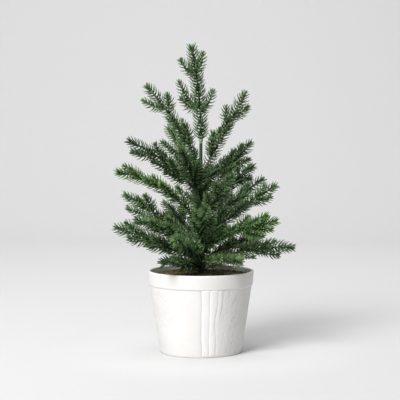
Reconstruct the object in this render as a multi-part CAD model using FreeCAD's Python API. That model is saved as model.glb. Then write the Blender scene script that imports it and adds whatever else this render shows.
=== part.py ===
import FreeCAD, Part
import math
import os

os.makedirs("parts", exist_ok=True)

# Small artificial spruce in a textured pot, in millimetres.
# Origin: centre of the pot's bottom face. +Z up, +X right, -Y towards the viewer.

# Pot: a tapered shell with a plain rim collar and a cluster of wavy upright ribs
POT_HEIGHT = 92.8
FOOT_RADIUS = 46.5
WALL_TOP_RADIUS = 57.8
COLLAR_LOW_RADIUS = 58.8
RIM_RADIUS = 60.0
COLLAR_BOTTOM = 76.5
COLLAR_FULL = 77.9
WALL = 3.0
FLOOR = 3.5
LIP_ROUND = 1.3
FOOT_ROUND = 1.2
# Each rib: the angles of its two edges, in degrees to the right of the front (or the back)
RIBS = [(1.0, 12.0), (12.0, 21.0), (21.0, 26.0)]
RIB_PROUD = 0.7
RIB_ROUND_FACTOR = 1.25
RIB_FACINGS = [-90.0, 90.0]

# What fills the pot
FILL_GAP = 0.2
BALLAST_TOP = 34.0
FOAM_TOP = 84.0
MOSS_EDGE = 87.6
MOSS_CROWN = 90.0
MOSS_RING_RADIUS = 30.0

# Trunk: a steel core and two moulded sleeves
CORE_RADIUS = 1.0
CORE_BOTTOM = 6.0
CORE_TOP = 235.0
CORE_GAP = 0.05
SLEEVE_SPLIT = 160.0
SLEEVE_TOP = 238.6
SLEEVE_PROFILE = [(84.0, 3.4), (160.0, 2.8), (214.0, 1.9), (238.6, 1.75)]
MOSS_HOLE_GAP = 0.3

# Ball and socket at each branch root
ROOT_RADIUS = 3.8
BALL_RADIUS = 1.3
CAVITY_RADIUS = 1.6
BOSS_RADIUS = 2.5
WIRE_RADIUS = 0.6
SLOT_HALF = 0.95
SLOT_REACH = 6.0

# Sprays: moulded twigs pushed over the wires
WIRE_BARE = 6.0
WIRE_INSIDE = 5.0
BORE_RADIUS = 0.65
BORE_SPARE = 0.3
COLLAR_RADIUS = 1.35
COLLAR_LENGTH = 5.5
MAIN_BASE_RADIUS = 1.15
MAIN_TIP_RADIUS = 0.7
TWIG_BASE_RADIUS = 0.75
TWIG_TIP_RADIUS = 0.55
BUD_FACTOR = 1.25
NODE_SWELL = 1.04
SEGMENTS = 6
TWIG_CURL = 0.5

# Branches. shape: root height, direction (0 = right, 90 = back), length, rise at the root, rise at
# the tip. twigs: place along the branch (0 to 1), roll about it (0 = upper side, 90 = right side
# looking outwards), spread from it, length. bend: how far it bends down and up from rest.
BRANCHES = {
    "upper_left": {
        "shape": (216, 168, 103, 63, 48), "bend": (-20, 10),
        "twigs": [(0.20, 40, 34, 22), (0.26, -30, 34, 22), (0.38, -90, 36, 22), (0.62, -10, 44, 21),
                  (0.70, 178, 46, 25)]},
    "upper_right": {
        "shape": (205, -25, 100, 62, 58), "bend": (-20, 8),
        "twigs": [(0.20, 60, 40, 20), (0.26, 20, 40, 20), (0.36, -20, 36, 15), (0.48, -70, 30, 16),
                  (0.62, 0, 54, 18), (0.70, 172, 40, 22)]},
    "left_high": {
        "shape": (180, 192, 97, 51, 24), "bend": (-20, 20),
        "twigs": [(0.20, 170, 30, 24), (0.32, -80, 40, 22), (0.36, 172, 24, 28), (0.42, 60, 42, 22),
                  (0.60, -10, 48, 16), (0.66, 176, 34, 26)]},
    "back_left_high": {
        "shape": (196, 120, 92, 44, 32), "bend": (-20, 20),
        "twigs": [(0.24, 60, 40, 22), (0.36, -90, 48, 36), (0.62, 80, 40, 20)]},
    "right_high": {
        "shape": (168, 32, 92, 52, 42), "bend": (-20, 20),
        "twigs": [(0.26, 140, 34, 20), (0.40, 80, 40, 20), (0.46, -10, 40, 18), (0.60, 0, 42, 18),
                  (0.64, 172, 46, 22), (0.76, 10, 40, 13)]},
    "back_right_high": {
        "shape": (184, 66, 84, 30, 16), "bend": (-20, 20),
        "twigs": [(0.26, -60, 40, 24), (0.42, -90, 40, 24), (0.60, 80, 42, 22)]},
    "left_mid": {
        "shape": (148, 200, 112, 54, 9), "bend": (-20, 12),
        "twigs": [(0.20, 10, 36, 24), (0.30, 80, 40, 22), (0.42, -80, 40, 20), (0.50, 0, 26, 18),
                  (0.60, -100, 35, 16), (0.74, 0, 19, 25)]},
    "right_mid": {
        "shape": (154, 50, 106, 36, 25), "bend": (-11, 10),
        "twigs": [(0.24, 60, 40, 22), (0.40, -90, 40, 22), (0.66, -30, 42, 18), (0.66, 150, 34, 22)]},
    "right_long": {
        "shape": (130, 20, 96, 54, 30), "bend": (-20, 7),
        "twigs": [(0.24, -80, 40, 22), (0.40, -80, 40, 24), (0.52, 90, 40, 22), (0.66, -80, 40, 20)]},
    "right_front": {
        "shape": (126, -8, 101, 47, 29), "bend": (-20, 20),
        "twigs": [(0.22, -30, 38, 22), (0.40, -80, 40, 24), (0.52, 90, 40, 24), (0.70, 160, 32, 22),
                  (0.78, -10, 30, 14)]},
    "right_bright": {
        "shape": (118, -35, 101, 31, 9), "bend": (-20, 20),
        "twigs": [(0.22, 80, 38, 22), (0.34, 80, 40, 26), (0.48, -10, 36, 22), (0.56, 160, 38, 30),
                  (0.66, 70, 38, 22), (0.68, 175, 24, 26), (0.74, -10, 34, 18)]},
    "right_back_low": {
        "shape": (106, 40, 88, 17, 8), "bend": (-20, 20),
        "twigs": [(0.26, 70, 40, 22), (0.42, -80, 40, 24), (0.56, 80, 40, 22), (0.70, -90, 36, 18)]},
    "right_low": {
        "shape": (99, -4, 102, 27, -4), "bend": (-14, 20),
        "twigs": [(0.24, 120, 42, 38), (0.40, -70, 40, 26), (0.56, 90, 40, 22), (0.62, 175, 36, 24),
                  (0.64, -5, 20, 18)]},
    "front_right_low": {
        "shape": (101, -62, 86, 11, 1), "bend": (-12, 20),
        "twigs": [(0.24, 85, 40, 22), (0.34, -80, 40, 26), (0.46, 80, 40, 24), (0.62, -80, 40, 20)]},
    "front_left_low": {
        "shape": (98, 239, 76, 11, 4), "bend": (-9, 12),
        "twigs": [(0.30, 80, 40, 24), (0.40, -80, 42, 22), (0.52, 80, 40, 20)]},
    "left_low": {
        "shape": (104, 186, 98, 27, 18), "bend": (-20, 14),
        "twigs": [(0.22, 80, 40, 22), (0.30, 172, 20, 30), (0.34, -80, 40, 26), (0.46, 80, 40, 24),
                  (0.58, 175, 24, 25), (0.72, 0, 28, 21)]},
    "left_back": {
        "shape": (118, 162, 104, 42, 25), "bend": (-15, 15),
        "twigs": [(0.24, -60, 38, 24), (0.34, 80, 42, 24), (0.48, 174, 26, 46), (0.64, -5, 40, 20),
                  (0.74, 80, 34, 16)]},
    "front_mid": {
        "shape": (127, -86, 76, 38, 26), "bend": (-20, 20),
        "twigs": [(0.24, 80, 40, 22), (0.28, -80, 40, 22), (0.42, -80, 40, 22), (0.56, 80, 40, 20)]},
    "front_right_mid": {
        "shape": (147, -60, 84, 46, 36), "bend": (-20, 20),
        "twigs": [(0.24, -80, 40, 24), (0.30, 80, 40, 24), (0.42, -80, 40, 22), (0.56, 80, 40, 22)]},
    "front_left_mid": {
        "shape": (118, 218, 92, 31, 14), "bend": (-20, 20),
        "twigs": [(0.22, 80, 40, 24), (0.30, 80, 40, 26), (0.42, -80, 40, 26), (0.54, 80, 40, 24),
                  (0.68, -80, 40, 20)]},
    "front_high": {
        "shape": (176, 250, 78, 50, 36), "bend": (-20, 20),
        "twigs": [(0.24, -80, 40, 22), (0.28, 80, 40, 24), (0.42, -80, 40, 22), (0.56, 80, 40, 22)]},
    "front_low": {
        "shape": (107, 250, 78, 24, 16), "bend": (-12, 20),
        "twigs": [(0.24, 80, 40, 24), (0.36, -80, 40, 24), (0.50, 80, 40, 24)]},
    "back_mid": {
        "shape": (140, 95, 90, 40, 28), "bend": (-20, 20),
        "twigs": [(0.24, 80, 40, 22), (0.42, -80, 40, 24), (0.56, 80, 40, 24)]},
    "back_left_low": {
        "shape": (124, 126, 80, 36, 26), "bend": (-20, 20),
        "twigs": [(0.24, 60, 40, 22), (0.40, -80, 40, 24), (0.54, 80, 40, 24)]},
    "back_right_low": {
        "shape": (110, 76, 92, 22, 12), "bend": (-20, 20),
        "twigs": [(0.24, 80, 40, 22), (0.42, -80, 40, 24), (0.56, 80, 40, 24)]},
}

# Leader: the top shoot. It leans in the XZ plane, from one angle to another, positive to the right.
LEADER_ROOT = 240.0
LEADER_LENGTH = 104.0
LEADER_LEANS = (0, -11)
LEADER_BEND = (-10, 10)
LEADER_TWIGS = [(0.30, 10, 46, 28), (0.34, 178, 45, 38), (0.36, 172, 85, 23), (0.71, 178, 54, 23),
                (0.74, 5, 38, 22)]

UP = FreeCAD.Vector(0, 0, 1)


def vector(x, y, z):
    return FreeCAD.Vector(x, y, z)


def revolved(points):
    """A solid of revolution about Z from a closed outline of (radius, height) points."""
    corners = [vector(radius, 0, height) for radius, height in points]
    face = Part.Face(Part.makePolygon(corners + corners[:1]))
    return face.revolve(vector(0, 0, 0), UP, 360)


def upright_cylinder(radius, low, high):
    return Part.makeCylinder(radius, high - low, vector(0, 0, low))


def inner_radius(height):
    """The pot's inside radius at a height."""
    share = height / POT_HEIGHT
    return FOOT_RADIUS - WALL + (RIM_RADIUS - FOOT_RADIUS) * share


def outer_wall_radius(height):
    return FOOT_RADIUS + (WALL_TOP_RADIUS - FOOT_RADIUS) * height / COLLAR_BOTTOM


def rib(facing, first_angle, last_angle):
    """One upright rib: the slice of a thin layer on the wall that a leaning cone cuts out."""
    middle = math.radians(facing + (first_angle + last_angle) / 2)
    half_angle = math.radians((last_angle - first_angle) / 2)
    low, high = 0.6, COLLAR_BOTTOM + 1.0
    layer = revolved([(outer_wall_radius(low) - 1.0, low), (outer_wall_radius(low) + RIB_PROUD, low),
                      (outer_wall_radius(high) + RIB_PROUD, high), (outer_wall_radius(high) - 1.0, high)])
    ends = []
    for height in (low - 1.0, high + 1.0):
        half_width = outer_wall_radius(height) * math.sin(half_angle)
        round_radius = half_width * RIB_ROUND_FACTOR
        centre = outer_wall_radius(height) + RIB_PROUD - round_radius
        ends.append((vector(centre * math.cos(middle), centre * math.sin(middle), height), round_radius))
    return layer.common(tapered_rod(ends[0][0], ends[1][0], ends[0][1], ends[1][1]))


def pot():
    """The moulded shell: floor, tapered wall, ribs, and a collar with a rounded lip."""
    shell = revolved([
        (0, 0), (FOOT_RADIUS - FOOT_ROUND, 0), (FOOT_RADIUS - 0.3, 0.4), (FOOT_RADIUS, FOOT_ROUND),
        (WALL_TOP_RADIUS, COLLAR_BOTTOM), (COLLAR_LOW_RADIUS - 0.3, COLLAR_BOTTOM + 0.4),
        (COLLAR_LOW_RADIUS, COLLAR_FULL), (RIM_RADIUS, POT_HEIGHT - LIP_ROUND),
        (RIM_RADIUS - 0.4, POT_HEIGHT - 0.4), (RIM_RADIUS - LIP_ROUND, POT_HEIGHT),
        (RIM_RADIUS - WALL + LIP_ROUND, POT_HEIGHT), (RIM_RADIUS - WALL + 0.3, POT_HEIGHT - 0.4),
        (inner_radius(POT_HEIGHT - LIP_ROUND), POT_HEIGHT - LIP_ROUND),
        (inner_radius(FLOOR), FLOOR), (0, FLOOR)])
    ribs = [rib(facing, *edges) for facing in RIB_FACINGS for edges in RIBS]
    return shell.fuse(ribs).removeSplitter()


def filling(low, high, hole_radius, hole_low):
    """A plug that fits the inside of the pot, with a hole for the trunk core."""
    body = revolved([(0, low), (inner_radius(low) - FILL_GAP, low),
                     (inner_radius(high) - FILL_GAP, high), (0, high)])
    return body.cut(upright_cylinder(hole_radius, hole_low, high + 1))


def moss():
    """The moss layer: a shallow mound with the trunk's hole."""
    edge = inner_radius(FOAM_TOP) - FILL_GAP
    body = revolved([(0, FOAM_TOP), (edge, FOAM_TOP), (inner_radius(MOSS_EDGE) - FILL_GAP, MOSS_EDGE),
                     (MOSS_RING_RADIUS, MOSS_CROWN - 0.6), (0, MOSS_CROWN)])
    return body.cut(upright_cylinder(SLEEVE_PROFILE[0][1] + MOSS_HOLE_GAP, FOAM_TOP - 1, MOSS_CROWN + 1))


def tapered_rod(start, end, start_radius, end_radius):
    axis = end - start
    if abs(start_radius - end_radius) < 1e-6:
        return Part.makeCylinder(start_radius, axis.Length, start, axis)
    return Part.makeCone(start_radius, end_radius, axis.Length, start, axis)


def heading(direction, rise):
    """The unit vector for a compass direction and a rise, both in degrees."""
    turn, climb = math.radians(direction), math.radians(rise)
    return vector(math.cos(turn) * math.cos(climb), math.sin(turn) * math.cos(climb), math.sin(climb))


def branch_path(root_height, direction, length, root_rise, tip_rise):
    """The branch's axis as a chain of points that rises less and less."""
    turn = math.radians(direction)
    points = [vector(ROOT_RADIUS * math.cos(turn), ROOT_RADIUS * math.sin(turn), root_height)]
    for step in range(SEGMENTS):
        rise = root_rise + (tip_rise - root_rise) * (step + 0.5) / SEGMENTS
        points.append(points[-1] + heading(direction, rise) * (length / SEGMENTS))
    return points


def leader_path():
    points = [vector(0, 0, LEADER_ROOT)]
    for step in range(SEGMENTS):
        lean = LEADER_LEANS[0] + (LEADER_LEANS[1] - LEADER_LEANS[0]) * (step + 0.5) / SEGMENTS
        points.append(points[-1] + heading(0, 90 - lean) * (LEADER_LENGTH / SEGMENTS))
    return points


def place_on(path, share):
    """The point at a share of the path, and the path's direction there."""
    distance = share * SEGMENTS
    index = min(int(distance), SEGMENTS - 1)
    step = path[index + 1] - path[index]
    return path[index] + step * (distance - index), FreeCAD.Vector(step).normalize()


def twig_path(path, share, roll, spread, length, upper_side):
    """A side twig's three points: it leaves at the spread angle and curls back along the branch."""
    start, along = place_on(path, share)
    right_side = along.cross(upper_side).normalize()
    outward = right_side.cross(along).normalize()
    side = outward * math.cos(math.radians(roll)) + right_side * math.sin(math.radians(roll))
    points = [start]
    for angle in (math.radians(spread), math.radians(spread * TWIG_CURL)):
        step = along * math.cos(angle) + side * math.sin(angle)
        points.append(points[-1] + step * (length / 2))
    return points


def round_knuckle(centre, along, radius):
    """A ball whose poles lie on the twig's own axis."""
    return Part.makeSphere(radius, centre, along)


def chain(points, radii):
    """Tapered rods end to end, with a small knuckle at each bend and a bud at the tip."""
    solids = []
    for index in range(len(points) - 1):
        start, end = points[index], points[index + 1]
        solids.append(tapered_rod(start, end, radii[index], radii[index + 1]))
        swell = BUD_FACTOR if index == len(points) - 2 else NODE_SWELL
        solids.append(round_knuckle(end, end - start, radii[index + 1] * swell))
    return solids


def even_radii(count, first, last):
    return [first + (last - first) * index / (count - 1) for index in range(count)]


def spray_base(base, end, base_radius, end_radius):
    """The first length of the spray, turned in one piece: a collar, bored for the wire, and a twig."""
    along = end - base
    bore_depth = WIRE_INSIDE + BORE_SPARE
    shoulder = COLLAR_LENGTH + COLLAR_RADIUS - base_radius
    outline = [(BORE_RADIUS, 0), (COLLAR_RADIUS, 0), (COLLAR_RADIUS, COLLAR_LENGTH),
               (base_radius, shoulder), (end_radius, along.Length), (0, along.Length),
               (0, bore_depth), (BORE_RADIUS, bore_depth)]
    body = revolved(outline)
    body.Placement = FreeCAD.Placement(base, FreeCAD.Rotation(UP, along))
    return body


def spray(path, twigs, upper_side):
    """The moulded spray: the bored base, the rest of the main twig and the side twigs."""
    along = FreeCAD.Vector(path[1] - path[0]).normalize()
    base = path[0] + along * WIRE_BARE
    radii = even_radii(len(path), MAIN_BASE_RADIUS, MAIN_TIP_RADIUS)
    body = spray_base(base, path[1], radii[0], radii[1])
    solids = [round_knuckle(path[1], along, radii[1] * NODE_SWELL)]
    solids += chain(path[1:], radii[1:])
    for share, roll, spread, length in twigs:
        side_points = twig_path(path, share, roll, spread, length, upper_side)
        solids += chain(side_points, even_radii(len(side_points), TWIG_BASE_RADIUS, TWIG_TIP_RADIUS))
    return body.fuse(solids)


def wire(path):
    """The steel wire: a round root for the socket and the length that holds the spray."""
    along = FreeCAD.Vector(path[1] - path[0]).normalize()
    end = path[0] + along * (WIRE_BARE + WIRE_INSIDE)
    rod = tapered_rod(path[0], end, WIRE_RADIUS, WIRE_RADIUS)
    return round_knuckle(path[0], along, BALL_RADIUS).fuse(rod)


def socket_hollow(path, bend, outward, lift):
    """What a socket leaves free: the ball's cavity and a slot for the wire's swing.

    outward and lift are the two unit vectors of the plane that the wire swings in."""
    centre = path[0]
    along = FreeCAD.Vector(path[1] - path[0]).normalize()
    rest = math.degrees(math.atan2(along.dot(lift), along.dot(outward)))
    corners = []
    for side, limit in ((-1, rest + bend[0]), (1, rest + bend[1])):
        angle = math.radians(limit)
        step = outward * math.cos(angle) + lift * math.sin(angle)
        across = (lift * math.cos(angle) - outward * math.sin(angle)) * (side * SLOT_HALF)
        corners.append([centre + across, centre + across + step * SLOT_REACH])
    middle = math.radians(rest + (bend[0] + bend[1]) / 2)
    tip = centre + (outward * math.cos(middle) + lift * math.sin(middle)) * (SLOT_REACH + SLOT_HALF)
    outline = [corners[0][0], corners[0][1], tip, corners[1][1], corners[1][0]]
    normal = outward.cross(lift)
    shifted = [point - normal * SLOT_HALF for point in outline]
    slot = Part.Face(Part.makePolygon(shifted + shifted[:1])).extrude(normal * (2 * SLOT_HALF))
    return round_knuckle(centre, along, CAVITY_RADIUS).fuse(slot)


def sleeve_body(low, high):
    """A plain length of the moulded trunk between two heights."""
    profile = [(height, radius) for height, radius in SLEEVE_PROFILE if low <= height <= high]
    outline = [(radius, height) for height, radius in profile]
    bore = CORE_RADIUS + CORE_GAP
    return revolved([(bore, low)] + outline + [(bore, high)])


def boss(path):
    return round_knuckle(path[0], FreeCAD.Vector(path[1] - path[0]).normalize(), BOSS_RADIUS)


def sleeve(low, high, paths):
    """One trunk sleeve with its branch sockets."""
    bosses = []
    hollows = []
    for name, path in paths.items():
        root_height, direction = BRANCHES[name]["shape"][:2]
        if low < root_height <= high:
            bosses.append(boss(path))
            hollows.append(socket_hollow(path, BRANCHES[name]["bend"], heading(direction, 0), UP))
    if high == SLEEVE_TOP:
        top = leader_path()
        bosses.append(boss(top))
        leader_bend = (-LEADER_BEND[1], -LEADER_BEND[0])
        hollows.append(socket_hollow(top, leader_bend, vector(1, 0, 0), UP))
    body = sleeve_body(low, high).fuse(bosses)
    for hollow in hollows:
        body = body.cut(hollow)
    return body


def export(name, shape):
    shape.exportStep("parts/" + name + ".step")


def build():
    paths = {name: branch_path(*branch["shape"]) for name, branch in BRANCHES.items()}
    export("pot", pot())
    export("ballast", filling(FLOOR, BALLAST_TOP, CORE_RADIUS + CORE_GAP, CORE_BOTTOM))
    export("foam_disc", filling(BALLAST_TOP, FOAM_TOP, CORE_RADIUS + CORE_GAP, BALLAST_TOP - 1))
    export("moss", moss())
    export("trunk_core", upright_cylinder(CORE_RADIUS, CORE_BOTTOM, CORE_TOP))
    export("trunk_sleeve_lower", sleeve(SLEEVE_PROFILE[0][0], SLEEVE_SPLIT, paths))
    export("trunk_sleeve_upper", sleeve(SLEEVE_SPLIT, SLEEVE_TOP, paths))
    for name, path in paths.items():
        export("wire_" + name, wire(path))
        export("spray_" + name, spray(path, BRANCHES[name]["twigs"], UP))
    top = leader_path()
    export("wire_leader", wire(top))
    export("spray_leader", spray(top, LEADER_TWIGS, vector(1, 0, 0)))


build()
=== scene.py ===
import math
import random

import bmesh
import bpy
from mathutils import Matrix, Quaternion, Vector, noise


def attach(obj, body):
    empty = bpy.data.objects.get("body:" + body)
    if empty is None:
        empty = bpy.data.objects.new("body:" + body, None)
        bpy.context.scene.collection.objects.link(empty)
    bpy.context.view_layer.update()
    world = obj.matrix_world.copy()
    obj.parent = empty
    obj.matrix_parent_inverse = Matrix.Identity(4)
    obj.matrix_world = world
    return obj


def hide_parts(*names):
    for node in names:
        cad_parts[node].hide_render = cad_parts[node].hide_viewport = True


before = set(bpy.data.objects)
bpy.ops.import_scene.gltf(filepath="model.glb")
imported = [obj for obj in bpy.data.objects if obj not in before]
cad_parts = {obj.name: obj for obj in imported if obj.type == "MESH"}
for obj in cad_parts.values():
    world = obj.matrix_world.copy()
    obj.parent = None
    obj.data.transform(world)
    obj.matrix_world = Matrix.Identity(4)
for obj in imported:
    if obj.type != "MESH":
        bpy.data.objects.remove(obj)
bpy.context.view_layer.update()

MM = 0.001

# Branches, in millimetres and degrees. shape: root height, direction (0 = right, 90 = back), length,
# rise at the root, rise at the tip. twigs: place along the branch (0 to 1), roll about it (0 = upper
# side, 90 = right side looking outwards), spread from it, length. look: the needles' colouring.
# The darkest look paints shade: it is a darker copy for branches at the back and under others.
BRANCHES = {
    "upper_left": {
        "shape": (216, 168, 103, 63, 48), "look": "mid",
        "twigs": [(0.20, 40, 34, 22), (0.26, -30, 34, 22), (0.38, -90, 36, 22), (0.62, -10, 44, 21),
                  (0.70, 178, 46, 25)]},
    "upper_right": {
        "shape": (205, -25, 100, 62, 58), "look": "mid",
        "twigs": [(0.20, 60, 40, 20), (0.26, 20, 40, 20), (0.36, -20, 36, 15), (0.48, -70, 30, 16),
                  (0.62, 0, 54, 18), (0.70, 172, 40, 22)]},
    "left_high": {
        "shape": (180, 192, 97, 51, 24), "look": "painted_shade",
        "twigs": [(0.20, 170, 30, 24), (0.32, -80, 40, 22), (0.36, 172, 24, 28), (0.42, 60, 42, 22),
                  (0.60, -10, 48, 16), (0.66, 176, 34, 26)]},
    "back_left_high": {
        "shape": (196, 120, 92, 44, 32), "look": "mid",
        "twigs": [(0.24, 60, 40, 22), (0.36, -90, 48, 36), (0.62, 80, 40, 20)]},
    "right_high": {
        "shape": (168, 32, 92, 52, 42), "look": "mid",
        "twigs": [(0.26, 140, 34, 20), (0.40, 80, 40, 20), (0.46, -10, 40, 18), (0.60, 0, 42, 18),
                  (0.64, 172, 46, 22), (0.76, 10, 40, 13)]},
    "back_right_high": {
        "shape": (184, 66, 84, 30, 16), "look": "painted_shade",
        "twigs": [(0.26, -60, 40, 24), (0.42, -90, 40, 24), (0.60, 80, 42, 22)]},
    "left_mid": {
        "shape": (148, 200, 112, 54, 9), "look": "fresh",
        "twigs": [(0.20, 10, 36, 24), (0.30, 80, 40, 22), (0.42, -80, 40, 20), (0.50, 0, 26, 18),
                  (0.60, -100, 35, 16), (0.74, 0, 19, 25)]},
    "right_mid": {
        "shape": (154, 50, 106, 36, 25), "look": "painted_shade",
        "twigs": [(0.24, 60, 40, 22), (0.40, -90, 40, 22), (0.66, -30, 42, 18), (0.66, 150, 34, 22)]},
    "right_long": {
        "shape": (130, 20, 96, 54, 30), "look": "painted_shade",
        "twigs": [(0.24, -80, 40, 22), (0.40, -80, 40, 24), (0.52, 90, 40, 22), (0.66, -80, 40, 20)]},
    "right_front": {
        "shape": (126, -8, 101, 47, 29), "look": "mid",
        "twigs": [(0.22, -30, 38, 22), (0.40, -80, 40, 24), (0.52, 90, 40, 24), (0.70, 160, 32, 22),
                  (0.78, -10, 30, 14)]},
    "right_bright": {
        "shape": (118, -35, 101, 31, 9), "look": "bright",
        "twigs": [(0.22, 80, 38, 22), (0.34, 80, 40, 26), (0.48, -10, 36, 22), (0.56, 160, 38, 30),
                  (0.66, 70, 38, 22), (0.68, 175, 24, 26), (0.74, -10, 34, 18)]},
    "right_back_low": {
        "shape": (106, 40, 88, 17, 8), "look": "painted_shade",
        "twigs": [(0.26, 70, 40, 22), (0.42, -80, 40, 24), (0.56, 80, 40, 22), (0.70, -90, 36, 18)]},
    "right_low": {
        "shape": (99, -4, 102, 27, -4), "look": "mid",
        "twigs": [(0.24, 120, 42, 38), (0.40, -70, 40, 26), (0.56, 90, 40, 22), (0.62, 175, 36, 24),
                  (0.64, -5, 20, 18)]},
    "front_right_low": {
        "shape": (101, -62, 86, 11, 1), "look": "olive",
        "twigs": [(0.24, 85, 40, 22), (0.34, -80, 40, 26), (0.46, 80, 40, 24), (0.62, -80, 40, 20)]},
    "front_left_low": {
        "shape": (98, 239, 76, 11, 4), "look": "painted_shade",
        "twigs": [(0.30, 80, 40, 24), (0.40, -80, 42, 22), (0.52, 80, 40, 20)]},
    "left_low": {
        "shape": (104, 186, 98, 27, 18), "look": "mid",
        "twigs": [(0.22, 80, 40, 22), (0.30, 172, 20, 30), (0.34, -80, 40, 26), (0.46, 80, 40, 24),
                  (0.58, 175, 24, 25), (0.72, 0, 28, 21)]},
    "left_back": {
        "shape": (118, 162, 104, 42, 25), "look": "mid",
        "twigs": [(0.24, -60, 38, 24), (0.34, 80, 42, 24), (0.48, 174, 26, 46), (0.64, -5, 40, 20),
                  (0.74, 80, 34, 16)]},
    "front_mid": {
        "shape": (127, -86, 76, 38, 26), "look": "mid",
        "twigs": [(0.24, 80, 40, 22), (0.28, -80, 40, 22), (0.42, -80, 40, 22), (0.56, 80, 40, 20)]},
    "front_right_mid": {
        "shape": (147, -60, 84, 46, 36), "look": "mid",
        "twigs": [(0.24, -80, 40, 24), (0.30, 80, 40, 24), (0.42, -80, 40, 22), (0.56, 80, 40, 22)]},
    "front_left_mid": {
        "shape": (118, 218, 92, 31, 14), "look": "mid",
        "twigs": [(0.22, 80, 40, 24), (0.30, 80, 40, 26), (0.42, -80, 40, 26), (0.54, 80, 40, 24),
                  (0.68, -80, 40, 20)]},
    "front_high": {
        "shape": (176, 250, 78, 50, 36), "look": "painted_shade",
        "twigs": [(0.24, -80, 40, 22), (0.28, 80, 40, 24), (0.42, -80, 40, 22), (0.56, 80, 40, 22)]},
    "front_low": {
        "shape": (107, 250, 78, 24, 16), "look": "mid",
        "twigs": [(0.24, 80, 40, 24), (0.36, -80, 40, 24), (0.50, 80, 40, 24)]},
    "back_mid": {
        "shape": (140, 95, 90, 40, 28), "look": "painted_shade",
        "twigs": [(0.24, 80, 40, 22), (0.42, -80, 40, 24), (0.56, 80, 40, 24)]},
    "back_left_low": {
        "shape": (124, 126, 80, 36, 26), "look": "painted_shade",
        "twigs": [(0.24, 60, 40, 22), (0.40, -80, 40, 24), (0.54, 80, 40, 24)]},
    "back_right_low": {
        "shape": (110, 76, 92, 22, 12), "look": "painted_shade",
        "twigs": [(0.24, 80, 40, 22), (0.42, -80, 40, 24), (0.56, 80, 40, 24)]},
}
LEADER_ROOT = 240
LEADER_LENGTH = 104
LEADER_LEANS = (0, -11)
LEADER_TWIGS = [(0.30, 10, 46, 28), (0.34, 178, 45, 38), (0.36, 172, 85, 23), (0.71, 178, 54, 23),
                (0.74, 5, 38, 22)]
ROOT_RADIUS = 3.8
SEGMENTS = 6
TWIG_CURL = 0.5
MAIN_RADII = (1.15, 0.7)
TWIG_RADII = (0.75, 0.55)

# Needles, in millimetres and degrees. Each kind: length, and needles in a whorl.
LEADER_NEEDLES = (8.7, 8)
BRANCH_NEEDLES = (7.9, 6)
TWIG_NEEDLES = (6.9, 6)
SLEEVE_NEEDLES = (10.5, 8)
NEEDLE_WIDTH = 1.85
NEEDLE_FLATNESS = 0.72
NEEDLE_ANGLE = 86
NEEDLE_BEND = 0.70
NEEDLE_SIDES = 4
# Where a needle's cross-sections lie along it, and how wide each is
NEEDLE_RINGS = (0.0, 0.15, 0.38, 0.62, 0.82, 0.94)
NEEDLE_SWELL = (0.9, 1.0, 0.96, 0.84, 0.62, 0.38)
WHORL_STEP = 3.35
WHORL_TURN = 9.0
# Near a spray's root the needles open to BASE_ANGLE, and near a tip they close to TIP_ANGLE
BASE_ANGLE = 112
BASE_ZONE = 9.0
TIP_ANGLE = 44
TIP_ZONE = 12.0
BRANCH_START = 6.5
LEADER_START = 2.2
TWIG_START = 2.0
LONG_NEEDLES = {"left_low": 1.14, "front_left_low": 1.15, "front_left_mid": 1.12, "front_low": 1.15}
TUFT_NEEDLES = 5
TUFT_LEAN = (14, 38)
TUFT_LENGTH = (4.0, 5.6)
TUFT_BEND = 0.1
# The bake coordinates hold one column for each colour that a needle or a strand can have
PALETTE = 48

# Trunk, in millimetres
TRUNK_NEEDLES = (92.0, 212.0)
TRUNK_RADIUS = 2.9
TRUNK_TAPER = 0.7
KNUCKLE_START = 236.0

# Room for the motion, in millimetres and degrees: trunk needles keep off the wires' roots, low needles
# over the rim end above a floor, and branch needles keep off the trunk when their branch is bent up
# this far, which is its highest or, for front_left_low, left_low and left_back, beyond it
WIRE_SHARES = [0.02 * step for step in range(11)]
WIRE_ROOM = 3.2
TRUNK_ROOM = 3.9
BEND_UP = 20.0
SHORT_BENDS_UP = {"upper_left": 10.0, "upper_right": 8.0, "left_mid": 12.0, "right_mid": 10.0,
                  "right_long": 7.0}
RIM_ZONE = (50.0, 82.0)
RIM_FLOORS = {"front_left_low": 105.0, "front_right_low": 105.6, "right_low": 107.5,
              "right_back_low": 113.5}

# Pot, in millimetres; the grooves' angles are in degrees to the right of the front
POT_HEIGHT = 92.8
FOOT_RADIUS = 46.5
WALL_TOP_RADIUS = 57.8
COLLAR_BOTTOM = 76.5
COLLAR_STEP = 1.0
COLLAR_ROUND = 1.4
RIM_RADIUS = 60.0
POT_WALL = 3.0
POT_FLOOR = 3.5
LIP_ROUND = 1.3
FOOT_ROUND = 1.2
GROOVES = (1.1, 10.3, 19.6, 25.0)
GROOVE_WANDER = 0.9
RIB_PROUD = 0.7
BARK_DEPTH = 0.48
WALL_ROWS = 96
RIB_COLUMN = 0.30
PLAIN_COLUMN = 0.75

# Moss, in millimetres
MOSS_RADIUS = 56.0
MOSS_CROWN = 90.0
MOSS_EDGE = 87.8
MOSS_BOTTOM = 84.1
TRUNK_HOLE = 3.8
MOSS_RINGS = 40
MOSS_COLUMNS = 144
MOSS_FIBRES = 2600
FIBRE_LENGTH = (3.0, 7.5)
FIBRE_RISE = (0.5, 1.6)
FIBRE_WIDTH = (0.22, 0.42)

# Studio, in metres and degrees. The floor's tone, painted to even out the lamps' light: a pool of painted
# light at the pot's foot, darker in front, and lighter far behind.
STAGE_FOOT_PAINTED_LIGHT = (0.635, 0.635, 0.635)
STAGE_NEAR = (0.50, 0.50, 0.50)
STAGE_FAR = (0.76, 0.76, 0.76)
STAGE_DEPTH = 1.3
STAGE_SWEEP = 0.7
AMBIENT = 0.23
CAMERA_PLACE = (-0.001, -1.5, 0.2639)
CAMERA_DROP = 3.49
CAMERA_LENS = 119.5


# ---- branch geometry ----

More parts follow.
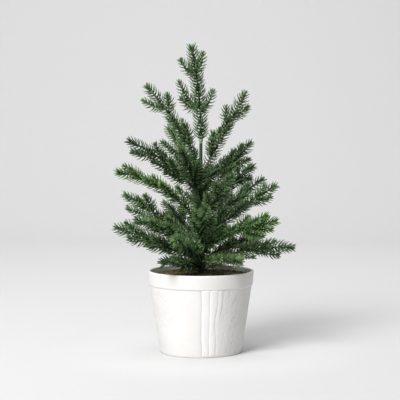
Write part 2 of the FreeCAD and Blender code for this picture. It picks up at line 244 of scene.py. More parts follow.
def heading(direction, rise):
    """The unit vector that points in a compass direction and climbs by rise, in degrees."""
    turn, climb = math.radians(direction), math.radians(rise)
    return Vector((math.cos(turn) * math.cos(climb), math.sin(turn) * math.cos(climb), math.sin(climb)))


def branch_path(root_height, direction, length, root_rise, tip_rise):
    """The branch's axis, as the CAD spray has it."""
    turn = math.radians(direction)
    points = [Vector((ROOT_RADIUS * math.cos(turn), ROOT_RADIUS * math.sin(turn), root_height))]
    for step in range(SEGMENTS):
        rise = root_rise + (tip_rise - root_rise) * (step + 0.5) / SEGMENTS
        points.append(points[-1] + heading(direction, rise) * (length / SEGMENTS))
    return points


def leader_path():
    """The leader's axis, which leans a little more towards its tip."""
    points = [Vector((0, 0, LEADER_ROOT))]
    for step in range(SEGMENTS):
        lean = LEADER_LEANS[0] + (LEADER_LEANS[1] - LEADER_LEANS[0]) * (step + 0.5) / SEGMENTS
        points.append(points[-1] + heading(0, 90 - lean) * (LEADER_LENGTH / SEGMENTS))
    return points


def place_on(path, share):
    """A place on a branch's axis, and the axis's direction there."""
    distance = share * SEGMENTS
    index = min(int(distance), SEGMENTS - 1)
    step = path[index + 1] - path[index]
    return path[index] + step * (distance - index), step.normalized()


def twig_path(path, share, roll, spread, length, upper_side):
    """A side twig's axis: two straight runs, the second turned back towards the branch's direction."""
    start, along = place_on(path, share)
    right_side = along.cross(upper_side).normalized()
    outward = right_side.cross(along).normalized()
    side = outward * math.cos(math.radians(roll)) + right_side * math.sin(math.radians(roll))
    points = [start]
    for angle in (math.radians(spread), math.radians(spread * TWIG_CURL)):
        points.append(points[-1] + (along * math.cos(angle) + side * math.sin(angle)) * (length / 2))
    return points


# ---- needles ----

def frames_along(points, radii, start, step):
    """Evenly spaced places on a chain of points: position, direction, radius, way gone, way left."""
    lengths = [(b - a).length for a, b in zip(points, points[1:])]
    total = sum(lengths)
    places = []
    distance = start
    while distance < total:
        walked = distance
        for index, length in enumerate(lengths):
            if walked <= length or index == len(lengths) - 1:
                share = walked / length
                break
            walked -= length
        here = points[index].lerp(points[index + 1], share)
        before = (points[index] - points[index - 1]).normalized() if index else None
        along = (points[index + 1] - points[index]).normalized()
        if before is not None:
            along = before.lerp(along, min(1.0, 0.5 + share)).normalized()
        radius = radii[0] + (radii[1] - radii[0]) * distance / total
        places.append((here, along, radius, distance - start, total - distance))
        distance += step
    return places


class Growth:
    """A mesh of needles or strands under construction, with its bake coordinates and random draws."""

    def __init__(self, seed):
        self.draw = random.Random(seed)
        self.mesh = bmesh.new()
        self.uv_layer = self.mesh.loops.layers.uv.new("OFBake")

    def vertex(self, place):
        """A vertex at a place in millimetres."""
        return self.mesh.verts.new(place * MM)

    def face(self, corners, column, shares, heights):
        """A face whose corners take these shares of a palette column's width and these heights."""
        made = self.mesh.faces.new(corners)
        for loop, across, height in zip(made.loops, shares, heights):
            loop[self.uv_layer].uv = ((column + across) / PALETTE, height)
        return made


def needle_rings(growth, root, out, forward, length, width, curve):
    """A needle's cross-sections, from its root on."""
    side = out.cross(forward).normalized()
    rings = []
    for share, swell in zip(NEEDLE_RINGS, NEEDLE_SWELL):
        bend = curve * length * share * share
        centre = root + out * (length * share) + forward * bend
        lean = (out + forward * (2 * curve * share)).normalized()
        flat = side.cross(lean).normalized() * NEEDLE_FLATNESS
        reach = width * 0.5 * swell
        angles = [2 * math.pi * corner / NEEDLE_SIDES for corner in range(NEEDLE_SIDES)]
        rings.append([growth.vertex(centre + (side * math.cos(angle) + flat * math.sin(angle)) * reach)
                      for angle in angles])
    return rings


def add_needle(growth, root, out, forward, length, width, curve):
    """One curved, tapering needle: it leaves along out and bends towards forward."""
    column = growth.draw.randrange(PALETTE)
    rings = needle_rings(growth, root, out, forward, length, width, curve)
    point = growth.vertex(root + out * length + forward * (curve * length))
    heights = [share * 0.96 + 0.02 for share in NEEDLE_RINGS]
    edges = [0.1 + 0.8 * corner / NEEDLE_SIDES for corner in range(NEEDLE_SIDES + 1)]
    sides = [(corner, (corner + 1) % NEEDLE_SIDES, edges[corner], edges[corner + 1])
             for corner in range(NEEDLE_SIDES)]
    for low, high, low_v, high_v in zip(rings, rings[1:], heights, heights[1:]):
        for corner, after, left, right in sides:
            growth.face((low[corner], low[after], high[after], high[corner]), column,
                        (left, right, right, left), (low_v, low_v, high_v, high_v))
    for corner, after, left, right in sides:
        growth.face((rings[-1][corner], rings[-1][after], point), column,
                    (left, right, (left + right) / 2), (heights[-1], heights[-1], 0.99))
    turns = [2 * math.pi * corner / NEEDLE_SIDES for corner in range(NEEDLE_SIDES)]
    growth.face(tuple(reversed(rings[0])), column, [0.5 + 0.24 * math.cos(turn) for turn in turns],
                [0.01 + 0.005 * math.sin(turn) for turn in turns])


def room_over_rim(root, tip, floor):
    """How much of a needle's length leaves room for the pot's rim below, when the branch is bent down."""
    if not RIM_ZONE[0] < math.hypot(tip.x, tip.y) < RIM_ZONE[1] or tip.z >= floor:
        return 1.0
    return max(0.3, (root.z - floor) / max(0.1, root.z - tip.z))


def sides_of(along):
    """The upright and the sideways direction across a twig."""
    reference = Vector((0, 0, 1)) if abs(along.z) < 0.9 else Vector((1, 0, 0))
    across = along.cross(reference).normalized()
    return across.cross(along).normalized(), across


def clothe(growth, points, radii, start, kind, base_opens=False, floor=0.0, keep=None):
    """Needles round one twig, in whorls that close up towards the tip. A needle over the pot's rim
    ends above floor. Where keep is given, a needle it turns down is left out."""
    draw = growth.draw
    reach, count = kind
    turn = draw.uniform(0, 360)
    for here, along, radius, walked, left in frames_along(points, radii, start, WHORL_STEP):
        closing = max(0.0, 1.0 - left / TIP_ZONE)
        opening = max(0.0, 1.0 - walked / BASE_ZONE) if base_opens else 0.0
        turn += WHORL_TURN
        upright, across = sides_of(along)
        for index in range(count):
            angle = math.radians(turn + 360 * index / count + draw.uniform(-8, 8))
            outward = upright * math.cos(angle) + across * math.sin(angle)
            open_angle = NEEDLE_ANGLE + (TIP_ANGLE - NEEDLE_ANGLE) * closing + draw.uniform(-6, 6)
            open_angle += (BASE_ANGLE - NEEDLE_ANGLE) * opening
            lean = math.radians(open_angle)
            out = (along * math.cos(lean) + outward * math.sin(lean)).normalized()
            length = reach * (1.0 - 0.30 * closing) * draw.uniform(0.90, 1.07)
            width = NEEDLE_WIDTH * draw.uniform(0.9, 1.1)
            bend = NEEDLE_BEND * (1.0 - 0.35 * closing) * draw.uniform(0.85, 1.15)
            root = here + outward * (radius * 0.7) + along * draw.uniform(-0.35, 0.35)
            length *= room_over_rim(root, root + (out + along * bend) * length, floor)
            if keep is None or keep(root + out * (0.5 * length), root + (out + along * bend) * length):
                add_needle(growth, root, out, along, length, width, bend)
    add_tuft(growth, points)


def add_tuft(growth, points):
    """The short needles that close a twig's tip."""
    draw = growth.draw
    along = (points[-1] - points[-2]).normalized()
    upright, across = sides_of(along)
    for index in range(TUFT_NEEDLES):
        angle = math.radians(index * 360 / TUFT_NEEDLES + draw.uniform(-15, 15))
        outward = upright * math.cos(angle) + across * math.sin(angle)
        lean = math.radians(draw.uniform(*TUFT_LEAN))
        out = (along * math.cos(lean) + outward * math.sin(lean)).normalized()
        root = points[-1] + outward * 0.25 - along * 0.4
        add_needle(growth, root, out, along, draw.uniform(*TUFT_LENGTH), NEEDLE_WIDTH * 0.9, TUFT_BEND)


def piece_from(mesh, name, body, material):
    """A finished object from a bmesh, riding on its body."""
    data = bpy.data.meshes.new(name)
    mesh.to_mesh(data)
    mesh.free()
    data.materials.append(material)
    piece = bpy.data.objects.new(name, data)
    bpy.context.scene.collection.objects.link(piece)
    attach(piece, body)
    return piece


def clear_of_trunk(path, bend_up):
    """A test of whether a needle stays off the trunk when its branch is bent up by bend_up degrees."""
    root = path[0]
    outward = Vector((path[-1].x - root.x, path[-1].y - root.y, 0.0)).normalized()
    lift = Quaternion(outward.cross(Vector((0, 0, 1))), math.radians(bend_up))

    def keep(middle, tip):
        return all((root + lift @ (spot - root)).xy.length > TRUNK_ROOM for spot in (middle, tip))

    return keep


def branch_needles(name, material, seed):
    """All the needles of one branch's spray, as one piece."""
    growth = Growth(seed)
    path = branch_path(*BRANCHES[name]["shape"])
    longer = LONG_NEEDLES.get(name, 1.0)
    floor = RIM_FLOORS.get(name, 0.0)
    keep = clear_of_trunk(path, SHORT_BENDS_UP.get(name, BEND_UP))
    main_kind = (BRANCH_NEEDLES[0] * longer, BRANCH_NEEDLES[1])
    twig_kind = (TWIG_NEEDLES[0] * longer, TWIG_NEEDLES[1])
    clothe(growth, path, MAIN_RADII, BRANCH_START, main_kind, base_opens=True, floor=floor, keep=keep)
    for twig in BRANCHES[name]["twigs"]:
        points = twig_path(path, *twig, Vector((0, 0, 1)))
        clothe(growth, points, TWIG_RADII, TWIG_START, twig_kind, floor=floor, keep=keep)
    piece_from(growth.mesh, "needles_" + name, "branch_" + name, material)


def leader_needles(material):
    """All the needles of the leader's spray, as one piece."""
    growth = Growth(99)
    path = leader_path()
    clothe(growth, path, MAIN_RADII, LEADER_START, LEADER_NEEDLES)
    for twig in LEADER_TWIGS:
        clothe(growth, twig_path(path, *twig, Vector((1, 0, 0))), TWIG_RADII, TWIG_START, TWIG_NEEDLES)
    piece_from(growth.mesh, "needles_leader", "leader", material)


def trunk_needles(material):
    """The needles moulded on the trunk's sleeves, below the bare top length."""
    growth = Growth(98)
    points = [Vector((0, 0, height)) for height in TRUNK_NEEDLES]
    wires = [place_on(branch_path(*branch["shape"]), share)[0]
             for branch in BRANCHES.values() for share in WIRE_SHARES]

    def clear_of_wires(middle, tip):
        return all((spot - wire).length > WIRE_ROOM for spot in (middle, tip) for wire in wires)

    clothe(growth, points, (TRUNK_RADIUS, TRUNK_RADIUS * TRUNK_TAPER), 0.0, SLEEVE_NEEDLES,
           keep=clear_of_wires)
    piece_from(growth.mesh, "needles_trunk", "root", material)


# ---- pot ----

def smooth(low, high, value):
    """0 below low, 1 above high, and a soft slope between."""
    share = min(1.0, max(0.0, (value - low) / (high - low)))
    return share * share * (3 - 2 * share)


def groove_angles(height):
    """The four grooves' angles to the right of the front, in degrees: each wanders as it goes up."""
    angles = []
    for index, middle in enumerate(GROOVES):
        wander = GROOVE_WANDER * noise.noise(Vector((height / 17.0, 5.3 * index, 0.0)))
        ripple = 0.25 * noise.noise(Vector((height / 4.0, 9.1 * index, 3.0)))
        angles.append(middle + wander + ripple)
    dip = 2.6 * math.exp(-((height - 38.0) / 13.0) ** 2)
    angles[2] -= dip
    angles[3] -= dip
    return angles


def rib_relief(angle, height):
    """How far the ribs stand out of the wall at a place, in millimetres."""
    grooves = groove_angles(height)
    if angle < grooves[0]:
        return -0.30 * math.exp(-((grooves[0] - angle) / 2.0) ** 2)
    if angle > grooves[-1]:
        return -0.12 * math.exp(-((angle - grooves[-1]) / 1.5) ** 2) * smooth(25, 60, height)
    for index in range(len(grooves) - 1):
        if angle <= grooves[index + 1]:
            break
    across = (angle - grooves[index]) / (grooves[index + 1] - grooves[index])
    pillow = (1 - abs(2 * across - 1) ** 3.0) ** 0.6
    if index < len(grooves) - 2:
        return RIB_PROUD * pillow
    last = 0.5 * RIB_PROUD * pillow * smooth(20, 60, height)
    return max(last, 0.35 * RIB_PROUD * (1 - across) * pillow)


def bark_relief(angle, height):
    """Shallow curved marks pressed into the wall, deepest on the right of the ribs."""
    around = math.radians(angle)
    place = Vector((math.sin(around) * 6.0, math.cos(around) * 6.0, height / 11.0))
    field = noise.noise(place * 1.15) + 0.45 * noise.noise(place * 2.7)
    line = math.exp(-((field - 0.08) / 0.07) ** 2) + 0.8 * math.exp(-((field + 0.22) / 0.06) ** 2)
    broken = smooth(-0.05, 0.25, noise.noise(place * 1.9 + Vector((7.0, 3.0, 1.0))))
    side = angle % 180
    strength = 0.22 + 0.78 * smooth(20, 38, side) * (1 - smooth(120, 150, side))
    swell = 0.10 * noise.noise(place * 0.8 + Vector((0.0, 11.0, 0.0)))
    return swell - BARK_DEPTH * strength * line * broken


def wall_relief(angle, height):
    """The ribs and marks on the pot's wall, the same on the front and, turned half round, the back."""
    within = smooth(0.4, 3.0, height) * (1 - smooth(COLLAR_BOTTOM - 0.6, COLLAR_BOTTOM + 0.8, height))
    folded = (angle + 90) % 180 - 90
    return within * rib_relief(folded, height), within * bark_relief(angle, height)


def quarter_turn(steps):
    """The sine and cosine of evenly spaced angles over a quarter turn, for a rounded edge."""
    angles = [math.pi / 2 * step / steps for step in range(steps + 1)]
    return [(math.sin(angle), math.cos(angle)) for angle in angles]


def wall_rows():
    """The pot's wall from the foot to the collar: radius and height."""
    rows = []
    for step in range(1, WALL_ROWS + 1):
        height = FOOT_ROUND + (COLLAR_BOTTOM - FOOT_ROUND) * step / WALL_ROWS
        rows.append((FOOT_RADIUS + (WALL_TOP_RADIUS - FOOT_RADIUS) * height / COLLAR_BOTTOM, height))
    return rows


def collar_rows():
    """The pot's collar and rounded lip, from the wall's top to the inside: radius and height."""
    rows = [(WALL_TOP_RADIUS + COLLAR_STEP * sine, COLLAR_BOTTOM + COLLAR_ROUND * (1 - cosine))
            for sine, cosine in quarter_turn(5)[1:]]
    low_radius, low = WALL_TOP_RADIUS + COLLAR_STEP, COLLAR_BOTTOM + COLLAR_ROUND
    for share in (0.25, 0.5, 0.75, 1.0):
        rows.append((low_radius + (RIM_RADIUS - low_radius) * share,
                     low + (POT_HEIGHT - LIP_ROUND - low) * share))
    middle = RIM_RADIUS - LIP_ROUND
    rows += [(middle + LIP_ROUND * cosine, POT_HEIGHT - LIP_ROUND * (1 - sine))
             for sine, cosine in quarter_turn(6)[1:]]
    middle = RIM_RADIUS - POT_WALL + LIP_ROUND
    rows += [(middle - LIP_ROUND * sine, POT_HEIGHT - LIP_ROUND * (1 - cosine))
             for sine, cosine in quarter_turn(6)]
    return rows


def pot_rows():
    """The pot's outline from the foot's centre up outside, over the lip and down inside: (radius,
    height, whether the wall's pattern is on it)."""
    foot = [(radius, 0.0) for radius in (12.0, 30.0, FOOT_RADIUS - 2 * FOOT_ROUND)]
    foot += [(FOOT_RADIUS - FOOT_ROUND * (1 - sine), FOOT_ROUND * (1 - cosine))
             for sine, cosine in quarter_turn(4)]
    inside = [(FOOT_RADIUS - POT_WALL + (RIM_RADIUS - FOOT_RADIUS) * height / POT_HEIGHT, height)
              for height in (88.0, 84.0, 60.0, 30.0, POT_FLOOR)]
    inside += [(radius, POT_FLOOR) for radius in (25.0, 10.0)]
    rows = [(radius, height, False) for radius, height in foot]
    rows += [(radius, height, True) for radius, height in wall_rows()]
    return rows + [(radius, height, False) for radius, height in collar_rows() + inside]


def column_angles():
    """Where the pot's columns stand, in degrees: close together over the ribs."""
    angles = []
    angle = 0.0
    while angle < 360 - 1e-6:
        angles.append(angle)
        on_ribs = (angle % 180) < 28 or (angle % 180) > 177
        angle += RIB_COLUMN if on_ribs else PLAIN_COLUMN
    return angles


def build_pot(material):
    """The glazed pot. Each vertex keeps how deep it lies in the pattern, for the painted shade in the glaze's
    colour.
    """
    mesh = bmesh.new()
    depth = mesh.verts.layers.float.new("depth")
    angles = column_angles()
    rings = []
    for radius, height, patterned in pot_rows():
        ring = []
        for angle in angles:
            ribs, marks = wall_relief(angle, height) if patterned else (0.0, 0.0)
            turn = math.radians(angle - 90)
            uneven = 0.10 * noise.noise(Vector((math.cos(turn) * 2.2, math.sin(turn) * 2.2, height / 30)))
            reach = radius + ribs + marks + uneven * smooth(2.0, 8.0, height)
            vertex = mesh.verts.new(Vector((reach * math.cos(turn), reach * math.sin(turn), height)) * MM)
            # how deep the vertex lies, which the glaze turns into painted shade
            vertex[depth] = 0.5 + ribs + 0.2 * marks
            ring.append(vertex)
        rings.append(ring)
    count = len(angles)
    for low, high in zip(rings, rings[1:]):
        for index in range(count):
            after = (index + 1) % count
            mesh.faces.new((low[index], low[after], high[after], high[index])).smooth = True
    for ring in (list(reversed(rings[0])), rings[-1]):
        mesh.faces.new(ring).smooth = True
    bmesh.ops.triangulate(mesh, faces=[face for face in mesh.faces if len(face.verts) > 4])
    piece = piece_from(mesh, "pot_shell", "root", material)
    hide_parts("pot")


# ---- moss ----

def moss_height(x, y):
    """The moss surface's height at a place, in millimetres."""
    away = math.hypot(x, y) / MOSS_RADIUS
    mound = MOSS_CROWN - (MOSS_CROWN - MOSS_EDGE) * away * away
    lumps = 0.9 * noise.noise(Vector((x / 7.0, y / 7.0, 0.0)))
    lumps += 0.4 * noise.noise(Vector((x / 2.6, y / 2.6, 4.0)))
    return mound + lumps - 0.6


def moss_mound(growth):
    """The moss's solid mound, with a hole for the trunk. Each face takes a palette column of its own."""
    radii = [TRUNK_HOLE + (MOSS_RADIUS - TRUNK_HOLE) * step / MOSS_RINGS for step in range(MOSS_RINGS + 1)]
    angles = [2 * math.pi * step / MOSS_COLUMNS for step in range(MOSS_COLUMNS)]
    rings = []
    for radius in radii:
        spots = [(radius * math.cos(angle), radius * math.sin(angle)) for angle in angles]
        rings.append([growth.vertex(Vector((x, y, moss_height(x, y)))) for x, y in spots])
    floor = [[growth.mesh.verts.new(Vector((vertex.co.x, vertex.co.y, MOSS_BOTTOM * MM))) for vertex in ring]
             for ring in (rings[-1], rings[0])]
    shells = rings + floor
    for low, high in zip(shells, shells[1:] + shells[:1]):
        for index in range(MOSS_COLUMNS):
            after = (index + 1) % MOSS_COLUMNS
            face = growth.face((low[index], high[index], high[after], low[after]),
                               growth.draw.randrange(PALETTE), (0.2, 0.2, 0.8, 0.8), (0.02, 0.08, 0.08, 0.02))
            face.smooth = True


def fibre_rings(growth):
    """The cross-sections of one strand that arches over the mound and stays inside the pot."""
    draw = growth.draw
    away = MOSS_RADIUS * math.sqrt(draw.uniform(0.01, 0.95))
    turn = draw.uniform(0, 2 * math.pi)
    root = Vector((away * math.cos(turn), away * math.sin(turn), 0.0))
    root.z = moss_height(root.x, root.y) - 0.4
    aim = draw.uniform(0, 2 * math.pi)
    sideways = Vector((math.cos(aim), math.sin(aim), 0.0))
    across = Vector((-sideways.y, sideways.x, 0.0))
    length = draw.uniform(*FIBRE_LENGTH)
    rise = draw.uniform(*FIBRE_RISE)
    width = draw.uniform(*FIBRE_WIDTH)
    rings = []
    for share in (0.0, 0.25, 0.5, 0.75, 1.0):
        centre = root + sideways * (length * share)
        centre.z += rise * 3.2 * share * (1 - share)
        reach = math.hypot(centre.x, centre.y)
        if reach > MOSS_RADIUS - 0.4:
            centre.x *= (MOSS_RADIUS - 0.4) / reach
            centre.y *= (MOSS_RADIUS - 0.4) / reach
        thick = width * (1.0 - 0.6 * share)
        offsets = (across * thick, -across * thick, Vector((0, 0, thick * 1.2)))
        rings.append([growth.vertex(centre + offset) for offset in offsets])
    return rings


def add_fibre(growth):
    """One loose strand of moss: a thin three-sided thread."""
    rings = fibre_rings(growth)
    column = growth.draw.randrange(PALETTE)
    for index, (low, high) in enumerate(zip(rings, rings[1:])):
        low_v, high_v = 0.1 + 0.2 * index, 0.3 + 0.2 * index
        for corner in range(3):
            after = (corner + 1) % 3
            across = 0.2 + 0.3 * corner
            face = growth.face((low[corner], low[after], high[after], high[corner]), column,
                               [across] * 4, (low_v, low_v, high_v, high_v))
            face.smooth = True
    for ring in (rings[0], list(reversed(rings[-1]))):
        growth.face(ring, column, (0.3, 0.6, 0.3), (0.10, 0.10, 0.16))


def build_moss(material):
    """The moss layer: the mound and its loose strands."""
    growth = Growth(41)
    moss_mound(growth)
    for _ in range(MOSS_FIBRES):
        add_fibre(growth)
    piece = piece_from(growth.mesh, "moss_layer", "root", material)
    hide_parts("moss")


# ---- materials ----

class Shading:
    """A node material under construction: its shader, and short ways to add what feeds it."""

    def __init__(self, name):
        self.material = bpy.data.materials.new(name)
        self.material.use_nodes = True
        self.tree = self.material.node_tree
        self.tree.nodes.clear()
        output = self.tree.nodes.new("ShaderNodeOutputMaterial")
        self.shader = self.tree.nodes.new("ShaderNodeBsdfPrincipled")
        self.join(self.shader.outputs[0], output.inputs["Surface"])

    def join(self, source, target):
        """Link a node's output to another node's input."""
        self.tree.links.new(source, target)

    def set(self, socket, value):
        """Give one of the shader's sockets a uniform number."""
        self.shader.inputs[socket].default_value = value

    def feed(self, source, socket):
        """Drive one of the shader's sockets."""
        self.join(source, self.shader.inputs[socket])

    def add(self, kind, **values):
        """A new node with these settings."""
        node = self.tree.nodes.new(kind)
        for key, value in values.items():
            setattr(node, key, value)
        return node

    def place(self):
        """Where a point lies, in the object's own axes."""
        return self.add("ShaderNodeTexCoord").outputs["Object"]

    def scaled(self, place, scale):
        """A place stretched along each axis, to squeeze the clouds that are read there."""
        node = self.add("ShaderNodeMapping")
        node.inputs["Scale"].default_value = scale
        self.join(place, node.inputs["Vector"])
        return node.outputs[0]

    def split(self, vector):
        """A vector's parts, by the names X, Y and Z."""
        node = self.add("ShaderNodeSeparateXYZ")
        self.join(vector, node.inputs[0])
        return node.outputs

    def grain(self, place, scale, detail=2.0):
        """Soft random clouds, 0 to 1."""
        node = self.add("ShaderNodeTexNoise")
        node.inputs["Scale"].default_value = scale
        node.inputs["Detail"].default_value = detail
        self.join(place, node.inputs["Vector"])
        return node.outputs["Fac"]

    def spread(self, value, low, high, start=0.0, end=1.0, interpolation="LINEAR"):
        """A value between start and end, spread over low to high."""
        node = self.add("ShaderNodeMapRange", interpolation_type=interpolation)
        node.inputs["From Min"].default_value = start
        node.inputs["From Max"].default_value = end
        node.inputs["To Min"].default_value = low
        node.inputs["To Max"].default_value = high
        self.join(value, node.inputs["Value"])
        return node.outputs[0]

    def ramp(self, value, stops):
        """Colours at places from 0 to 1, blended between."""
        node = self.add("ShaderNodeValToRGB")
        elements = node.color_ramp.elements
        while len(elements) < len(stops):
            elements.new(0.5)
        for element, (place, colour) in zip(elements, stops):
            element.position = place
            element.color = (*colour, 1.0)
        self.join(value, node.inputs[0])
        return node.outputs[0]

    def mix(self, share, first, second):
        """One colour where share is 0, the other where it is 1."""
        node = self.add("ShaderNodeMix", data_type="RGBA")
        self.join(share, node.inputs["Factor"])
        self.join(first, node.inputs[6])
        self.join(second, node.inputs[7])
        return node.outputs[2]

    def uniform(self, colour):
        """A plain colour, to mix with others."""
        node = self.add("ShaderNodeRGB")
        node.outputs[0].default_value = (*colour, 1.0)
        return node.outputs[0]

    def adjusted(self, colour, **amounts):
        """A colour with its Hue or Value driven."""
        node = self.add("ShaderNodeHueSaturation")
        self.join(colour, node.inputs["Color"])
        for socket, amount in amounts.items():
            self.join(amount, node.inputs[socket])
        return node.outputs[0]

    def bump(self, height, strength, distance):
        """Roughen the shaded surface where height varies."""
        node = self.add("ShaderNodeBump")
        node.inputs["Strength"].default_value = strength
        node.inputs["Distance"].default_value = distance
        self.join(height, node.inputs["Height"])
        self.feed(node.outputs[0], "Normal")

    def palette(self):
        """From the bake coordinates: each palette column's random outputs, and the height in it."""
        parts = self.split(self.add("ShaderNodeUVMap", uv_map="OFBake").outputs[0])
        column = self.add("ShaderNodeMath", operation="MULTIPLY")
        column.inputs[1].default_value = PALETTE
        self.join(parts["X"], column.inputs[0])
        whole = self.add("ShaderNodeMath", operation="FLOOR")
        self.join(column.outputs[0], whole.inputs[0])
        chance = self.add("ShaderNodeTexWhiteNoise", noise_dimensions="1D")
        self.join(whole.outputs[0], chance.inputs["W"])
        return chance.outputs, parts["Y"]


# Linear colours at a needle's root, along its body and at its tip; the dark root colour is painted shade near
# the twig
NEEDLE_COLOURS = {
    # a darker copy of the needle colours: painted shade for branches at the back and under others
    "painted_shade": ((0.006, 0.023, 0.004), (0.040, 0.094, 0.026), (0.092, 0.158, 0.060)),
    "mid": ((0.008, 0.032, 0.005), (0.062, 0.138, 0.041), (0.135, 0.220, 0.092)),
    "bright": ((0.010, 0.040, 0.005), (0.064, 0.168, 0.036), (0.140, 0.265, 0.076)),
    "fresh": ((0.012, 0.040, 0.006), (0.084, 0.180, 0.048), (0.205, 0.325, 0.115)),
    "olive": ((0.010, 0.032, 0.006), (0.072, 0.136, 0.042), (0.165, 0.235, 0.098)),
}


def needle_material(look):
    """Moulded polyethylene: a green picked per needle, paler at the tip, and darker at the root with painted
    shade.
    """
    root, body, tip = NEEDLE_COLOURS[look]
    shading = Shading("needles_" + look)
    chance, along = shading.palette()
    others = shading.split(chance["Color"])
    # painted shade: the needle's root end takes the dark root colour
    green = shading.ramp(along, [(0.0, root), (0.16, root), (0.45, body), (1.0, tip)])
    brightness = shading.spread(chance["Value"], 0.35, 1.75)
    hue = shading.spread(others["Y"], 0.482, 0.512)
    shading.feed(shading.adjusted(green, Value=brightness, Hue=hue), "Base Color")
    shading.feed(shading.spread(others["Z"], 0.40, 0.55), "Roughness")
    shading.set("Specular IOR Level", 0.45)
    return shading.material


def stem_material(name, low_colour, high_colour, scale):
    """Moulded twig bark: two greens or browns in streaks, with a fine pitted surface."""
    shading = Shading(name)
    place = shading.place()
    streaks = shading.grain(place, scale, 4.0)
    shading.feed(shading.ramp(streaks, [(0.3, low_colour), (0.7, high_colour)]), "Base Color")
    shading.bump(shading.grain(place, scale * 6), 0.35, 0.0004)
    shading.set("Roughness", 0.55)
    return shading.material


def glaze_material():
    """Matt off-white glaze: faint clouds and brush strokes, and painted shade that makes it darker where it
    lies in the grooves.
    """
    shading = Shading("pot_glaze")
    place = shading.place()
    clouds = shading.grain(place, 28, 5.0)
    tone = shading.ramp(clouds, [(0.25, (0.765, 0.755, 0.737)), (0.75, (0.825, 0.817, 0.800))])
    depth = shading.add("ShaderNodeAttribute", attribute_name="depth").outputs["Fac"]
    # painted shade: the glaze is darkened where the wall lies deeper in the ribs and pressed marks
    painted_groove_shade = shading.spread(depth, 0.72, 1.0, start=0.10, end=0.62)
    shading.feed(shading.adjusted(tone, Value=painted_groove_shade), "Base Color")
    both = shading.add("ShaderNodeMath", operation="ADD")
    shading.join(shading.grain(shading.scaled(place, (1.0, 1.0, 7.0)), 120, 3.0), both.inputs[0])
    shading.join(shading.grain(place, 900), both.inputs[1])
    shading.bump(both.outputs[0], 0.25, 0.0005)
    shading.feed(shading.spread(clouds, 0.42, 0.62), "Roughness")
    return shading.material


def moss_material():
    """Dried moss: each strand picks a colour from dark olive to straw."""
    shading = Shading("moss_fibre")
    chance = shading.palette()[0]["Value"]
    straw = shading.ramp(chance, [(0.0, (0.026, 0.034, 0.008)), (0.35, (0.075, 0.082, 0.020)),
                                  (0.7, (0.175, 0.150, 0.045)), (1.0, (0.34, 0.27, 0.10))])
    shading.feed(straw, "Base Color")
    shading.feed(shading.spread(chance, 0.75, 0.95), "Roughness")
    return shading.material


def speckled_material(name, low_colour, high_colour, scale, roughness, metallic=0.0):
    """Plaster, foam or steel: two tones in fine grain, and a matching bump."""
    shading = Shading(name)
    grain = shading.grain(shading.place(), scale, 6.0)
    shading.feed(shading.ramp(grain, [(0.35, low_colour), (0.65, high_colour)]), "Base Color")
    shading.bump(grain, 0.4, 0.0005)
    shading.set("Roughness", roughness)
    shading.set("Metallic", metallic)
    return shading.material


def sleeve_material():
    """Moulded trunk: dark green bark in upright streaks, pale green at the top knuckle."""
    shading = Shading("trunk_sleeve")
    place = shading.place()
    streaks = shading.grain(shading.scaled(place, (6.0, 6.0, 1.0)), 90, 4.0)
    bark = shading.ramp(streaks, [(0.3, (0.008, 0.032, 0.009)), (0.7, (0.026, 0.080, 0.024))])
    knuckle = shading.ramp(streaks, [(0.3, (0.17, 0.27, 0.11)), (0.7, (0.30, 0.42, 0.21))])
    above = shading.spread(shading.split(place)["Z"], 0.0, 1.0,
                           start=KNUCKLE_START * MM, end=(KNUCKLE_START + 1.5) * MM)
    shading.feed(shading.mix(above, bark, knuckle), "Base Color")
    shading.bump(streaks, 0.5, 0.0005)
    shading.set("Roughness", 0.5)
    return shading.material


def stage_material():
    """The floor's tone, painted to even out the lamps' light: lighter towards the back, and a pool of painted
    light round the pot's foot.
    """
    shading = Shading("backdrop")
    place = shading.place()
    # painted shade in front and painted light behind: the floor's tone rises with its depth
    depth = shading.spread(shading.split(place)["Y"], 0.0, 1.0, start=-0.4, end=1.2)
    tone = shading.ramp(depth, [(0.0, STAGE_NEAR), (1.0, STAGE_FAR)])
    away = shading.add("ShaderNodeVectorMath", operation="LENGTH")
    shading.join(place, away.inputs[0])
    # painted light: a paler pool round the pot's foot, where the tree's shade falls
    reach = shading.spread(away.outputs["Value"], 0.0, 1.0, start=0.055, end=0.20,
                           interpolation="SMOOTHSTEP")
    shading.feed(shading.mix(reach, shading.uniform(STAGE_FOOT_PAINTED_LIGHT), tone), "Base Color")
    shading.set("Roughness", 0.9)
    return shading.material


def dress(node, material):
    """Give a CAD node's object its finished material."""
    holder = bpy.data.objects[node]
    for slot in holder.material_slots:
        slot.material = material
    if not holder.material_slots:
        holder.data.materials.append(material)


def build_tree():
    """The needles of every spray and of the trunk, and the CAD stems' materials."""
    looks = {look: needle_material(look) for look in NEEDLE_COLOURS}
    green_stem = stem_material("stem_green", (0.018, 0.045, 0.014), (0.05, 0.10, 0.03), 260)
    brown_stem = stem_material("stem_brown", (0.12, 0.098, 0.062), (0.29, 0.235, 0.16), 200)
    for seed, (name, branch) in enumerate(BRANCHES.items(), start=100):
        branch_needles(name, looks[branch["look"]], seed)
        dress("spray_" + name, brown_stem if name == "upper_right" else green_stem)
        dress("wire_" + name, green_stem)
    leader_needles(looks["mid"])
    dress("spray_leader", green_stem)
    dress("wire_leader", green_stem)
    trunk_needles(looks["mid"])
    sleeve = sleeve_material()
    for node in ("trunk_sleeve_lower", "trunk_sleeve_upper"):
        dress(node, sleeve)


def build_base():
    """The pot and moss, and the materials of what they hide."""
    build_pot(glaze_material())
    build_moss(moss_material())
    dress("ballast", speckled_material("plaster", (0.52, 0.50, 0.46), (0.68, 0.66, 0.61), 160, 0.9))
    dress("foam_disc", speckled_material("foam", (0.05, 0.14, 0.06), (0.09, 0.21, 0.10), 420, 0.95))
    dress("trunk_core", speckled_material("steel", (0.30, 0.30, 0.31), (0.46, 0.46, 0.47), 300, 0.4, 1.0))


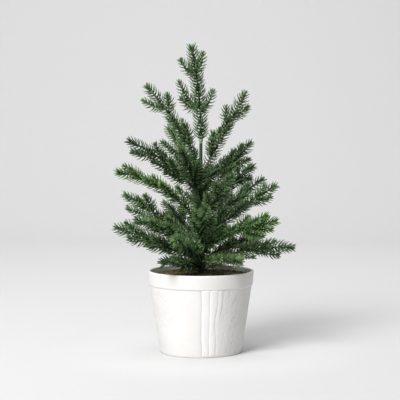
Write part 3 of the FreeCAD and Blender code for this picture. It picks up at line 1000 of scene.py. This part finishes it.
def build_stage():
    """A pale floor that sweeps up into the backdrop."""
    outline = [(-2.2, 0.0), (STAGE_DEPTH, 0.0)]
    outline += [(STAGE_DEPTH + STAGE_SWEEP * sine, STAGE_SWEEP * (1 - cosine))
                for sine, cosine in quarter_turn(12)[1:]]
    outline.append((STAGE_DEPTH + STAGE_SWEEP, 3.0))
    mesh = bmesh.new()
    rows = [[mesh.verts.new((x, y, z)) for x in (-4.0, 4.0)] for y, z in outline]
    for low, high in zip(rows, rows[1:]):
        mesh.faces.new((low[0], low[1], high[1], high[0])).smooth = True
    data = bpy.data.meshes.new("backdrop")
    mesh.to_mesh(data)
    mesh.free()
    data.materials.append(stage_material())
    backdrop = bpy.data.objects.new("backdrop", data)
    bpy.context.scene.collection.objects.link(backdrop)


def area_light(name, place, target, size, power):
    """A round soft lamp at place that faces target."""
    data = bpy.data.lights.new(name, "AREA")
    data.shape = "DISK"
    data.size = size
    data.energy = power
    lamp = bpy.data.objects.new(name, data)
    lamp.location = place
    lamp.rotation_euler = (Vector(target) - Vector(place)).to_track_quat("-Z", "Y").to_euler()
    bpy.context.scene.collection.objects.link(lamp)


def build_light():
    """An even white surround, a key lamp at the front left and a wide soft one overhead."""
    world = bpy.data.worlds.new("studio")
    world.use_nodes = True
    background = world.node_tree.nodes["Background"]
    background.inputs["Color"].default_value = (1, 1, 1, 1)
    background.inputs["Strength"].default_value = AMBIENT
    bpy.context.scene.world = world
    area_light("key", place=(-0.84, -1.36, 1.35), target=(0, 0, 0.15), size=1.0, power=49)
    area_light("overhead", place=(0.1, 0.1, 2.1), target=(0.05, 0.05, 0), size=1.8, power=28)


def build_camera():
    """A long lens in front, looking slightly down."""
    scene = bpy.context.scene
    scene.view_settings.view_transform = "Standard"
    data = bpy.data.cameras.new("camera")
    data.sensor_width = 36
    data.lens = CAMERA_LENS
    camera = bpy.data.objects.new("camera", data)
    camera.location = CAMERA_PLACE
    camera.rotation_euler = (math.radians(90 - CAMERA_DROP), 0, 0)
    scene.collection.objects.link(camera)
    scene.camera = camera


build_tree()
build_base()
build_stage()
build_light()
build_camera()
